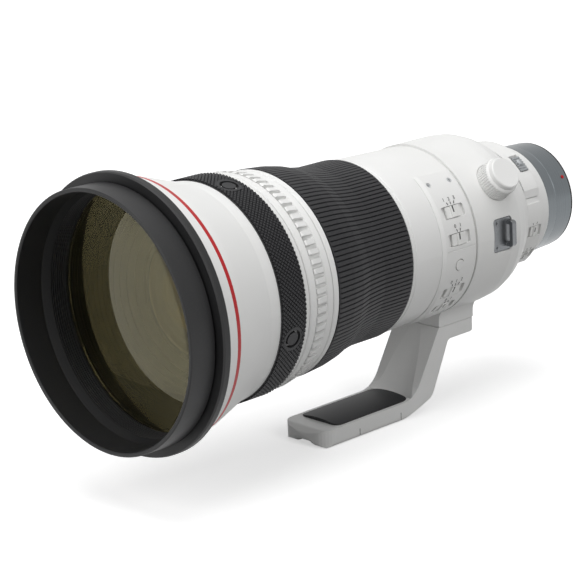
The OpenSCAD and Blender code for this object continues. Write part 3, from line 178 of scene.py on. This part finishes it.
# Cloudiness of the coat, patches 62.5 mm across
cloud = add(enamel, "TexNoise", {"Scale": 1 / (62.5 * mm), "Detail": 3, "Roughness": 0.5},
            {"Vector": coords.outputs["Object"]})
shade = add(enamel, "ValToRGB", {}, {"Fac": cloud.outputs["Fac"]})
shade.color_ramp.elements[0].position = 0.3
shade.color_ramp.elements[0].color = linear("#e3e3e1")
shade.color_ramp.elements[1].position = 0.7
shade.color_ramp.elements[1].color = linear("#e9e9e8")
# Orange peel, two dimples to the millimetre
peel = add(enamel, "TexNoise", {"Scale": 2 / mm, "Detail": 2, "Roughness": 0.5},
           {"Vector": coords.outputs["Object"]})
rounded = add(enamel, "Bevel", {"samples": 4, "Radius": 0.35 * mm})
bump = add(enamel, "Bump", {"Strength": 0.06, "Distance": 0.05 * mm},
           {"Height": peel.outputs["Fac"], "Normal": rounded.outputs["Normal"]})
rough = add(enamel, "MapRange", {"From Min": 0.3, "From Max": 0.7, "To Min": 0.36, "To Max": 0.46},
            {"Value": cloud.outputs["Fac"]})
coat = add(enamel, "BsdfPrincipled", {"IOR": 1.5, "Specular IOR Level": 0.4},
           {"Base Color": shade.outputs["Color"], "Roughness": rough.outputs[0],
            "Normal": bump.outputs["Normal"]})
add(enamel, "OutputMaterial", {}, {"Surface": coat.outputs[0]})
paint(enamel, "front_barrel", "playback_ring", "control_barrel", "middle_barrel", "panel_barrel",
      "switch_panel", "collar_ring", "lock_knob", "foot", "rear_barrel", "filter_holder")


# Black front ring, and the metal ring under the focus rubber
# Turned aluminium in satin black paint with a fine sand texture, glossier where hands rub it.
sand = finish_of("satin_black_paint")
coords = add(sand, "TexCoord")
# Sand in the paint, 2.6 grains to the millimetre
grit = add(sand, "TexNoise", {"Scale": 2.6 / mm, "Detail": 3, "Roughness": 0.6},
           {"Vector": coords.outputs["Object"]})
# Rubbed patches, about two in 100 mm
wear = add(sand, "TexNoise", {"Scale": 2.2 / (100 * mm), "Detail": 4, "Roughness": 0.55},
           {"Vector": coords.outputs["Object"]})
rough = add(sand, "MapRange", {"From Min": 0.3, "From Max": 0.7, "To Min": 0.42, "To Max": 0.54},
            {"Value": wear.outputs["Fac"]})
shade = add(sand, "ValToRGB", {}, {"Fac": grit.outputs["Fac"]})
shade.color_ramp.elements[0].position = 0.35
shade.color_ramp.elements[0].color = linear("#161617")
shade.color_ramp.elements[1].position = 0.65
shade.color_ramp.elements[1].color = linear("#212122")
rounded = add(sand, "Bevel", {"samples": 4, "Radius": 0.4 * mm})
bump = add(sand, "Bump", {"Strength": 0.15, "Distance": 0.06 * mm},
           {"Height": grit.outputs["Fac"], "Normal": rounded.outputs["Normal"]})
coat = add(sand, "BsdfPrincipled", {"IOR": 1.5, "Specular IOR Level": 0.3},
           {"Base Color": shade.outputs["Color"], "Roughness": rough.outputs[0],
            "Normal": bump.outputs["Normal"]})
add(sand, "OutputMaterial", {}, {"Surface": coat.outputs[0]})
paint(sand, "front_tube", "focus_ring")


# Inside of the barrel
# Anodised and flocked metal that takes all stray light: cells, carriage, iris and blades.
# The block of contacts in the throat is as black.
flock = finish_of("matt_black_lining")
coords = add(flock, "TexCoord")
# Flock, drawn at 1.8 tufts to the millimetre, coarser than it is, so that it shows
fuzz = add(flock, "TexNoise", {"Scale": 1.8 / mm, "Detail": 3},
           {"Vector": coords.outputs["Object"]})
shade = add(flock, "ValToRGB", {}, {"Fac": fuzz.outputs["Fac"]})
shade.color_ramp.elements[0].color = linear("#0c0c0c")
shade.color_ramp.elements[1].color = linear("#181818")
bump = add(flock, "Bump", {"Strength": 0.3, "Distance": 0.05 * mm},
           {"Height": fuzz.outputs["Fac"]})
skin = add(flock, "BsdfPrincipled", {"Roughness": 0.8, "Specular IOR Level": 0.2},
           {"Base Color": shade.outputs["Color"], "Normal": bump.outputs["Normal"]})
add(flock, "OutputMaterial", {}, {"Surface": skin.outputs[0]})
paint(flock, "front_cell", "focus_carriage", "iris_base", "iris_ring", "contact_block",
      *["iris_blade_%d" % k for k in range(1, 10)])


# Front glass and the glass behind it
# Two polished glasses held by the front cell. The front one is crown glass with an olive coating
# that lets most light through. The second, of flint, ends the black funnel with a cream sheen.
def piece(name, bm, mat, body, smooth=True):
    """Turns a bmesh into an object that rides on a body."""
    mesh = bpy.data.meshes.new(name)
    bm.to_mesh(mesh)
    bm.free()
    mesh.materials.append(mat)
    mesh.polygons.foreach_set("use_smooth", [smooth] * len(mesh.polygons))
    made = bpy.data.objects.new(name, mesh)
    scene.collection.objects.link(made)
    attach(made, body)
    return made


def spun(profile, segments=128, sharp_from=0.6):
    """Turns a list of (radius, station) points round the optical axis, station forward.

    Edges that bend by more than sharp_from, in radians, stay sharp.
    """
    shell = bmesh.new()
    line = [shell.verts.new((r, -s, 0)) for r, s in profile]
    edges = [shell.edges.new(pair) for pair in zip(line, line[1:])]
    bmesh.ops.spin(shell, geom=line + edges, cent=(0, 0, 0), axis=(0, 1, 0),
                   angle=2 * math.pi, steps=segments, use_merge=True)
    bmesh.ops.remove_doubles(shell, verts=shell.verts, dist=0.001 * mm)
    bmesh.ops.recalc_face_normals(shell, faces=shell.faces)
    for edge in shell.edges:
        edge.smooth = edge.calc_face_angle(0) < sharp_from
    return shell


def lens_line(radius, rear, front, rear_bulge, front_bulge, steps=24):
    """Half the outline of a lens, from the axis behind it round the rim to the axis in front."""
    line = []
    for rim, bulge, way in ((rear, rear_bulge, 1), (front, front_bulge, -1)):
        ball = (radius ** 2 + bulge ** 2) / (2 * bulge)
        most = math.asin(radius / ball)
        half = [(ball * math.sin(most * i / steps), ball - ball * math.cos(most * i / steps))
                for i in range(steps + 1)]
        half = [(r, rim + way * (sag - bulge)) for r, sag in half]
        line += half if way == 1 else half[::-1]
    return line


coated = finish_of("olive_coated_crown_glass")
body = add(coated, "BsdfPrincipled", {
    "Base Color": linear("#cfc9a8"), "Roughness": 0.0, "IOR": 1.52, "Transmission Weight": 1.0,
    "Specular IOR Level": 0.12, "Specular Tint": linear("#d8cfa0")})
add(coated, "OutputMaterial", {}, {"Surface": body.outputs[0]})
paint(coated, "rear_glass", "focus_glass", "stabiliser_lens")

# The drop-in filter is plain and clear
plain = finish_of("clear_filter_glass")
body = add(plain, "BsdfPrincipled", {
    "Base Color": linear("#f4f6f5"), "Roughness": 0.0, "IOR": 1.52, "Transmission Weight": 1.0})
add(plain, "OutputMaterial", {}, {"Surface": body.outputs[0]})
paint(plain, "filter_glass")

cream = finish_of("cream_coated_flint_glass")
body = add(cream, "BsdfPrincipled", {
    "Base Color": linear("#b9ae8c"), "Roughness": 0.0, "IOR": 1.9, "Transmission Weight": 1.0,
    "Specular Tint": linear("#efe2bd")})
add(cream, "OutputMaterial", {}, {"Surface": body.outputs[0]})

# Stations are measured forward from the flange. A rim is where a glass is held, and each of its
# faces bulges past it.
cell_front = -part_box("front_cell")[0].y
glass_r, glass_rim = 71.53 * mm, 3.6 * mm
glass_rear_bulge, glass_front_bulge = 3 * mm, 7 * mm
second_r = 52 * mm
second_rim_rear, second_rim_front = cell_front - 50.8 * mm, cell_front - 46 * mm
second_rear_bulge, second_front_bulge = 8 * mm, 12 * mm
front = piece("front_element",
              spun(lens_line(glass_r, cell_front - glass_rim, cell_front, glass_rear_bulge,
                             glass_front_bulge)),
              coated, "barrel")
piece("second_element",
      spun(lens_line(second_r, second_rim_rear, second_rim_front, second_rear_bulge,
                     second_front_bulge)),
      cream, "barrel")
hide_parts("front_glass")


# Red ring
# A band of red enamel let into the white cone, drawn as wide as it looks in the photograph.
red = finish_of("red_enamel")
coords = add(red, "TexCoord")
# Thick and thin enamel, six patches in 100 mm
cloud = add(red, "TexNoise", {"Scale": 6 / (100 * mm), "Detail": 3},
            {"Vector": coords.outputs["Object"]})
shade = add(red, "ValToRGB", {}, {"Fac": cloud.outputs["Fac"]})
shade.color_ramp.elements[0].color = linear("#a90410")
shade.color_ramp.elements[1].color = linear("#ba0713")
coat = add(red, "BsdfPrincipled", {"Roughness": 0.4, "IOR": 1.45, "Specular IOR Level": 0.3},
           {"Base Color": shade.outputs["Color"]})
add(red, "OutputMaterial", {}, {"Surface": coat.outputs[0]})

ring_low, ring_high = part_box("red_ring")
ring_wide, ring_sunk, ring_proud = 3 * mm, 0.3 * mm, 0.03 * mm
cone_slope = 0.245
ring_station = -(ring_low.y + ring_high.y) / 2
ring_r = ring_high.x - cone_slope * (ring_high.y - ring_low.y) / 2
rear_end, front_end = [(ring_r + side * cone_slope * ring_wide / 2,
                        ring_station + side * ring_wide / 2) for side in (-1, 1)]
ring_line = [(r + high, s) for (r, s), high in (
    (rear_end, -ring_sunk), (rear_end, ring_proud), (front_end, ring_proud),
    (front_end, -ring_sunk), (rear_end, -ring_sunk))]
red_band = piece("red_band", spun(ring_line), red, "barrel")
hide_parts("red_ring")


# Rubber of the button band, the focus ring, the buttons, the pad and the mount's lip
# Moulded synthetic rubber, charcoal and matt, with a fine leathery grain.
rubber = finish_of("charcoal_rubber")
coords = add(rubber, "TexCoord")
# Leathery grain, 1.5 to the millimetre
grain = add(rubber, "TexNoise", {"Scale": 1.5 / mm, "Detail": 4, "Roughness": 0.6},
            {"Vector": coords.outputs["Object"]})
# Dust and handling, three patches in 100 mm
dust = add(rubber, "TexNoise", {"Scale": 3 / (100 * mm), "Detail": 4, "Roughness": 0.6},
           {"Vector": coords.outputs["Object"]})
shade = add(rubber, "ValToRGB", {}, {"Fac": dust.outputs["Fac"]})
shade.color_ramp.elements[0].position = 0.3
shade.color_ramp.elements[0].color = linear("#1c1c1e")
shade.color_ramp.elements[1].position = 0.7
shade.color_ramp.elements[1].color = linear("#242426")
rounded = add(rubber, "Bevel", {"samples": 4, "Radius": 0.2 * mm})
bump = add(rubber, "Bump", {"Strength": 0.25, "Distance": 0.05 * mm},
           {"Height": grain.outputs["Fac"], "Normal": rounded.outputs["Normal"]})
body = add(rubber, "BsdfPrincipled", {"Roughness": 0.55, "IOR": 1.5, "Specular IOR Level": 0.3},
           {"Base Color": shade.outputs["Color"], "Normal": bump.outputs["Normal"]})
add(rubber, "OutputMaterial", {}, {"Surface": body.outputs[0]})
paint(rubber, "button_band", "focus_grip", "foot_pad", "mount_seal",
      *["stop_button_%d" % k for k in range(1, 5)])


# Knurl of the button band
# The band is moulded with rows of small flat-topped diamonds, left out round the four bosses.
def diamonds(around, along, pitch, height, inset):
    """A flat sheet of raised diamonds, around by along, lying in x and y with its tops at +z."""
    count_x = round(around / (pitch * math.sqrt(2)))
    side = around / count_x / math.sqrt(2)
    cells = math.ceil((around + along) / side / math.sqrt(2)) + 2
    sheet = bmesh.new()
    bmesh.ops.create_grid(sheet, x_segments=cells, y_segments=cells, size=cells * side / 2)
    bmesh.ops.rotate(sheet, cent=(0, 0, 0), matrix=Matrix.Rotation(math.pi / 4, 3, "Z"),
                     verts=sheet.verts)
    far = [f for f in sheet.faces if abs(f.calc_center_median().y) > along / 2 + side
           or abs(f.calc_center_median().x) > around / 2 + side]
    bmesh.ops.delete(sheet, geom=far, context="FACES")
    bmesh.ops.inset_individual(sheet, faces=sheet.faces[:], thickness=inset, depth=height)
    for x, y, limit in ((1, 0, around / 2), (-1, 0, around / 2), (0, 1, along / 2),
                        (0, -1, along / 2)):
        geom = sheet.verts[:] + sheet.edges[:] + sheet.faces[:]
        bmesh.ops.bisect_plane(sheet, geom=geom, dist=0.001 * mm, clear_outer=True,
                               plane_co=(x * limit, y * limit, 0), plane_no=(x, y, 0))
    return sheet


def wrapped(sheet, radius, around):
    """Bends a flat sheet round the optical axis: x runs round it, y along it."""
    for v in sheet.verts:
        a = v.co.x / around * 2 * math.pi
        r = radius + v.co.z
        v.co = (r * math.cos(a), v.co.y, r * math.sin(a))
    bmesh.ops.remove_doubles(sheet, verts=sheet.verts, dist=0.005 * mm)
    return sheet


band_low, band_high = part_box("button_band")
band_r, band_y = 65.8 * mm, (band_low.y + band_high.y) / 2
band_round = 2 * math.pi * band_r
plain_edge = 0.6 * mm
knurl_long = band_high.y - band_low.y - 2 * plain_edge
knurl_pitch, knurl_high, knurl_inset, knurl_sunk = 1.9 * mm, 0.75 * mm, 0.5 * mm, 0.03 * mm
button_angles = [75, -15, -105, 165]
bare_r = 6.9 * mm
knurl = wrapped(diamonds(band_round, knurl_long, knurl_pitch, knurl_high, knurl_inset),
                band_r - knurl_sunk, band_round)
bmesh.ops.translate(knurl, vec=(0, band_y, 0), verts=knurl.verts)
bare = []
for a in button_angles:
    centre = Vector((band_r * math.cos(math.radians(a)), band_y,
                     band_r * math.sin(math.radians(a))))
    bare += [f for f in knurl.faces if (f.calc_center_median() - centre).length < bare_r]
bmesh.ops.delete(knurl, geom=bare, context="FACES")
piece("band_knurl", knurl, rubber, "barrel", False)


# Index marks
# Thin lines of printed black ink: one on each slider, and beside each window the short ticks
# that it points at, with a plain figure over each.
ink = finish_of("black_ink")
body = add(ink, "BsdfPrincipled", {"Base Color": linear("#141414"), "Roughness": 0.5})
add(ink, "OutputMaterial", {}, {"Surface": body.outputs[0]})
ink_high = 0.05 * mm


def laid_on(angle, y, radius, tilt=0):
    """Where something lies on the barrel: its x runs back along it, its y round it, z outward."""
    a = math.radians(angle)
    out = Vector((math.cos(a), 0, math.sin(a)))
    side = Vector((-math.sin(a), 0, math.cos(a)))
    turn = Matrix((Vector((0, 1, 0)), side, out)).transposed().to_4x4()
    return Matrix.Translation(out * radius + Vector((0, y, 0))) @ turn @ Matrix.Rotation(
        math.radians(tilt), 4, "Z")


def mark(bm, place, along, across, high=ink_high):
    """A thin box of ink."""
    bmesh.ops.create_cube(bm, size=1, matrix=place @ Matrix.Diagonal((along, across, high, 1)))


def figure(bm, text, place, height):
    """A plain figure of ink, as flat type."""
    curve = bpy.data.curves.new("figure", "FONT")
    curve.body, curve.size, curve.align_x, curve.extrude = text, height, "CENTER", 0.02 * mm
    written = bpy.data.objects.new("figure", curve)
    flat = bpy.data.meshes.new_from_object(written)
    flat.transform(place)
    bm.from_mesh(flat)
    bpy.data.objects.remove(written)
    bpy.data.curves.remove(curve)


def top_of(name, angle):
    """Height over the optical axis of a node's top, seen from an angle round the barrel."""
    out = Vector((math.cos(math.radians(angle)), 0, math.sin(math.radians(angle))))
    return max(v.co.dot(out) for v in nodes[name].data.vertices)


def slider_index(name, angle, y, shift, along, across, body):
    """The line on a slider's top, which lies shift off its middle and moves with it."""
    line = bmesh.new()
    place = laid_on(angle, y, top_of(name, angle)) @ Matrix.Translation((0, shift, 0))
    mark(line, place, along, across)
    piece(name + "_index", line, ink, body, False)


panel_low, panel_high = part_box("switch_panel")
panel_y, panel_r = (panel_low.y + panel_high.y) / 2, 54.95 * mm
# Angle of each window round the barrel, its switch, and the figures over it
windows = {"mode_slider": (24.9, "mode_switch", "123"),
           "stabiliser_slider": (7.2, "stabiliser_switch", "01"),
           "preset_slider": (-29.7, "preset_switch", "012"),
           "lock_slider": (-45, "lock_switch", "01")}
line_shift, line_wide, line_long = 1.6 * mm, 1 * mm, 4 * mm
for name, (angle, switch, _) in windows.items():
    slider_index(name, angle, panel_y, line_shift, line_wide, line_long, switch)

# Ticks and figures stand some degrees round from their window. The ticks fan out, by fan degrees
# for each millimetre from the middle, and the figures are spread wider than the ticks.
tick_turn, figure_turn, fan = 5.7, 7.4, 9
tick_gap, tick_wide, tick_long = 2.9 * mm, 0.55 * mm, 1.8 * mm
figure_spread, figure_high = 1.6, 3.2 * mm
marks = bmesh.new()
for angle, _, figures in windows.values():
    for i, text in enumerate(figures):
        off = (i - (len(figures) - 1) / 2) * tick_gap
        mark(marks, laid_on(angle + tick_turn, panel_y + off, panel_r, -off / mm * fan),
             tick_wide, tick_long)
        figure(marks, text, laid_on(angle + figure_turn, panel_y + off * figure_spread, panel_r),
               figure_high)
piece("panel_marks", marks, ink, "barrel", False)

# The two small switches on the rear barrel have a line on the slider and two ticks over it
rear_low, rear_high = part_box("af_slider")
rear_y, rear_r = (rear_low.y + rear_high.y) / 2, 41.7 * mm
rear_windows = {"af_slider": (-11.9, "af_switch"), "range_slider": (-37, "range_switch")}
rear_line_shift, rear_line_wide, rear_line_long = 1 * mm, 0.8 * mm, 3 * mm
rear_tick_turn, rear_tick_off = 7, 1.9 * mm
rear_tick_wide, rear_tick_long = 0.4 * mm, 1.5 * mm
marks = bmesh.new()
for name, (angle, switch) in rear_windows.items():
    slider_index(name, angle, rear_y, rear_line_shift, rear_line_wide, rear_line_long, switch)
    for off in (-rear_tick_off, rear_tick_off):
        mark(marks, laid_on(angle + rear_tick_turn, rear_y + off, rear_r, -off / mm * fan),
             rear_tick_wide, rear_tick_long)
piece("rear_marks", marks, ink, "barrel", False)

# Two balance marks in grey ink on the side of the foot, each with its place along the lens
# and its height
grey_ink = finish_of("grey_ink")
body = add(grey_ink, "BsdfPrincipled", {"Base Color": linear("#6d6d6d"), "Roughness": 0.5})
add(grey_ink, "OutputMaterial", {}, {"Surface": body.outputs[0]})
foot_low, foot_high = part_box("foot")
balance_z, balance_wide = foot_low.z + 3.8 * mm, 0.55 * mm
marks = bmesh.new()
for y, high in ((-148 * mm, 4.6 * mm), (-184.6 * mm, 4.2 * mm)):
    mark(marks, Matrix.Translation((foot_high.x, y, balance_z)), ink_high, balance_wide, high)
piece("foot_marks", marks, grey_ink, "collar", False)


# Plastic caps of the switches
# Moulded white polycarbonate, smoother and a shade darker than the enamel round it.
caps = finish_of("moulded_white_plastic")
coords = add(caps, "TexCoord")
# Faint flow marks of the moulding, nine in 100 mm
haze = add(caps, "TexNoise", {"Scale": 9 / (100 * mm), "Detail": 2},
           {"Vector": coords.outputs["Object"]})
shade = add(caps, "ValToRGB", {}, {"Fac": haze.outputs["Fac"]})
shade.color_ramp.elements[0].color = linear("#dededc")
shade.color_ramp.elements[1].color = linear("#e6e6e4")
rounded = add(caps, "Bevel", {"samples": 4, "Radius": 0.4 * mm})
body = add(caps, "BsdfPrincipled", {"Roughness": 0.42, "IOR": 1.58},
           {"Base Color": shade.outputs["Color"], "Normal": rounded.outputs["Normal"]})
add(caps, "OutputMaterial", {}, {"Surface": body.outputs[0]})
paint(caps, "mode_slider", "stabiliser_slider", "preset_slider", "lock_slider", "set_button",
      "af_slider", "range_slider")


# Metal of the mount
# Aluminium, turned and anodised blue-grey, with fine turning lines that run round the axis.
anodised = finish_of("blue_grey_anodised_aluminium")
coords = add(anodised, "TexCoord")
parts = add(anodised, "SeparateXYZ", {}, {"Vector": coords.outputs["Object"]})
# Turning lines, 2.4 to the millimetre along the axis
turning = add(anodised, "TexNoise", {"noise_dimensions": "1D", "Scale": 2.4 / mm, "Detail": 3},
              {"W": parts.outputs["Y"]})
shade = add(anodised, "ValToRGB", {}, {"Fac": turning.outputs["Fac"]})
shade.color_ramp.elements[0].position = 0.3
shade.color_ramp.elements[0].color = linear("#62676a")
shade.color_ramp.elements[1].position = 0.7
shade.color_ramp.elements[1].color = linear("#72777a")
rounded = add(anodised, "Bevel", {"samples": 4, "Radius": 0.3 * mm})
bump = add(anodised, "Bump", {"Strength": 0.12, "Distance": 0.04 * mm},
           {"Height": turning.outputs["Fac"], "Normal": rounded.outputs["Normal"]})
body = add(anodised, "BsdfPrincipled", {"Metallic": 1.0, "Roughness": 0.3},
           {"Base Color": shade.outputs["Color"], "Normal": bump.outputs["Normal"]})
add(anodised, "OutputMaterial", {}, {"Surface": body.outputs[0]})
paint(anodised, "mount_ring")

# Mounting index: a red dot let into the edge
dot_angle, dot_y, dot_r = 29.6, -4.2 * mm, 34.95 * mm
dot_foot, dot_top, dot_deep = 1.2 * mm, 1.1 * mm, 0.5 * mm
a = math.radians(dot_angle)
out = Vector((math.cos(a), 0, math.sin(a)))
turn = Vector((0, 0, 1)).rotation_difference(out).to_matrix().to_4x4()
dot = bmesh.new()
bmesh.ops.create_cone(dot, cap_ends=True, segments=32, radius1=dot_foot, radius2=dot_top,
                      depth=dot_deep,
                      matrix=Matrix.Translation(out * dot_r + Vector((0, dot_y, 0))) @ turn)
piece("mount_index", dot, red, "barrel", False)


# Bright metal: bayonet, strap loops, collar screws and guide rods
# Stainless steel, turned or stamped and left bare, with a soft satin shine.
steel = finish_of("satin_steel")
coords = add(steel, "TexCoord")
# Satin grain, drawn at 0.7 to the millimetre, coarser than it is, so that it shows
satin = add(steel, "TexNoise", {"Scale": 0.7 / mm, "Detail": 3},
            {"Vector": coords.outputs["Object"]})
shade = add(steel, "ValToRGB", {}, {"Fac": satin.outputs["Fac"]})
shade.color_ramp.elements[0].color = linear("#66686a")
shade.color_ramp.elements[1].color = linear("#7c7e80")
rounded = add(steel, "Bevel", {"samples": 4, "Radius": 0.3 * mm})
body = add(steel, "BsdfPrincipled", {"Metallic": 1.0, "Roughness": 0.32},
           {"Base Color": shade.outputs["Color"], "Normal": rounded.outputs["Normal"]})
add(steel, "OutputMaterial", {}, {"Surface": body.outputs[0]})
paint(steel, "bayonet", "collar_screws", "strap_lugs", "guide_rods")

# The small screws of the barrel are zinc plated and paler
zinc = finish_of("zinc_plated_steel")
body = add(zinc, "BsdfPrincipled", {"Base Color": linear("#b9bbbd"), "Roughness": 0.4})
add(zinc, "OutputMaterial", {}, {"Surface": body.outputs[0]})
paint(zinc, "barrel_screws")


# Grey metal: latches, motor, cam ring and stabiliser frame
# Aluminium castings, anodised mid grey and left matt.
grey_metal = finish_of("grey_anodised_aluminium")
coords = add(grey_metal, "TexCoord")
# Grain of the casting, 1.2 to the millimetre
grain = add(grey_metal, "TexNoise", {"Scale": 1.2 / mm, "Detail": 3},
            {"Vector": coords.outputs["Object"]})
shade = add(grey_metal, "ValToRGB", {}, {"Fac": grain.outputs["Fac"]})
shade.color_ramp.elements[0].color = linear("#8c8f91")
shade.color_ramp.elements[1].color = linear("#a2a5a7")
rounded = add(grey_metal, "Bevel", {"samples": 4, "Radius": 0.3 * mm})
body = add(grey_metal, "BsdfPrincipled", {"Metallic": 0.7, "Roughness": 0.45},
           {"Base Color": shade.outputs["Color"], "Normal": rounded.outputs["Normal"]})
add(grey_metal, "OutputMaterial", {}, {"Surface": body.outputs[0]})
paint(grey_metal, "filter_latch_right", "filter_latch_left", "focus_motor", "focus_cam_ring",
      "stabiliser_frame")


# Circuit board
# Ring of glass fibre under green solder resist, with copper showing through it as paler lines.
resist = finish_of("green_solder_resist")
coords = add(resist, "TexCoord")
# Fields of copper, 2.8 mm by 1.4 mm
traces = add(resist, "TexBrick", {"Scale": 0.18 / mm, "Color1": linear("#1f4a2c"),
                                  "Color2": linear("#24552f"), "Mortar": linear("#356a42")},
             {"Vector": coords.outputs["Object"]})
body = add(resist, "BsdfPrincipled", {"Roughness": 0.4}, {"Base Color": traces.outputs["Color"]})
add(resist, "OutputMaterial", {}, {"Surface": body.outputs[0]})
paint(resist, "circuit_board")
